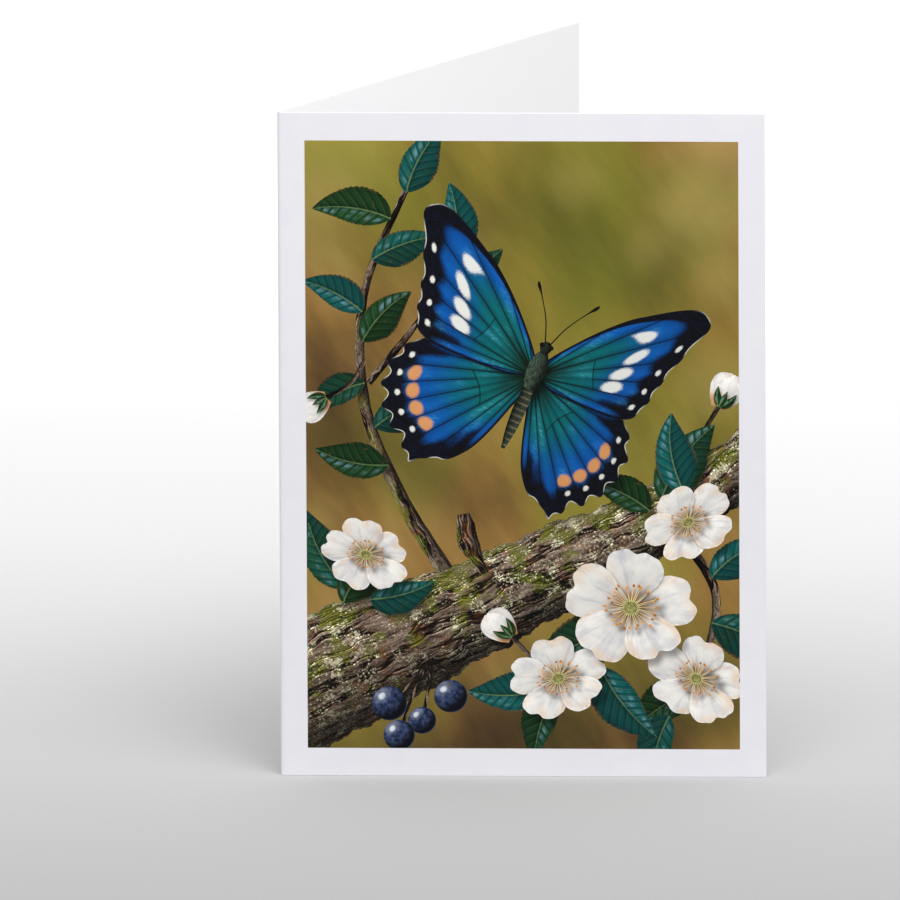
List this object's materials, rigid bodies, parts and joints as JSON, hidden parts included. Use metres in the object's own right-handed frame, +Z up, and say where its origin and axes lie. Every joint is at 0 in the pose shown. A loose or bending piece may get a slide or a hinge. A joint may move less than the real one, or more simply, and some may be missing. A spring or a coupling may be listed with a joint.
{
  "type": "greeting card",
  "caption": "Folded greeting card of heavy white board, standing half open on its bottom edges, with a bordered nature print on the cover.",
  "frame": {"origin": "bottom centre of the standing card's box, on the surface that it stands on", "axes": "+Z up along the fold; the cover faces -Y; the fold is at the -X end and the back panel goes from it towards +X and +Y"},
  "size_m": [0.127, 0.1024, 0.1778],
  "materials": {
    "card_board": "matte uncoated white board with a fine tooth",
    "cover_print": "full-colour print with a satin ink surface, inside a white border"
  },
  "bodies": {
    "back": {"back_panel": "card_board", "fold_bead": "card_board"},
    "cover": {"front_panel": "card_board"}
  },
  "joints": [
    {"name": "cover_fold", "type": "hinge", "parent": "back", "child": "cover", "pos_m": [-0.0631, -0.0508, 0], "axis": [0, 0, -1], "range_deg": [-52.5, 126.5]}
  ]
}
